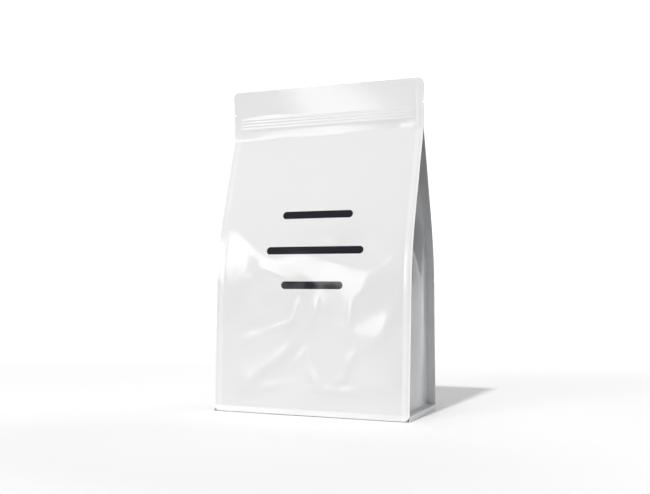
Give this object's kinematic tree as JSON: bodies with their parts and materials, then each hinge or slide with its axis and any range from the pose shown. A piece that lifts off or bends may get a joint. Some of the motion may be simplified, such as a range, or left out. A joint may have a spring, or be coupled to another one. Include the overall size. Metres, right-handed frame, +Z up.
{
  "type": "flat-bottom pouch",
  "caption": "Shut flat-bottom pouch of white film: wide front and back panels, pleated side gussets, sealed foot and a flat header with a press-to-close strip and tear notches.",
  "frame": {"origin": "centre of the pouch's footprint, on the floor under its flat base", "axes": "+Z up, from the base to the header's top edge; +Y from the front panel to the back panel; +X to the right as seen from the front"},
  "size_m": [0.14, 0.0596, 0.221],
  "materials": {
    "white_film": "soft gloss"
  },
  "bodies": {
    "root": {"pouch": "white_film"}
  },
  "joints": []
}
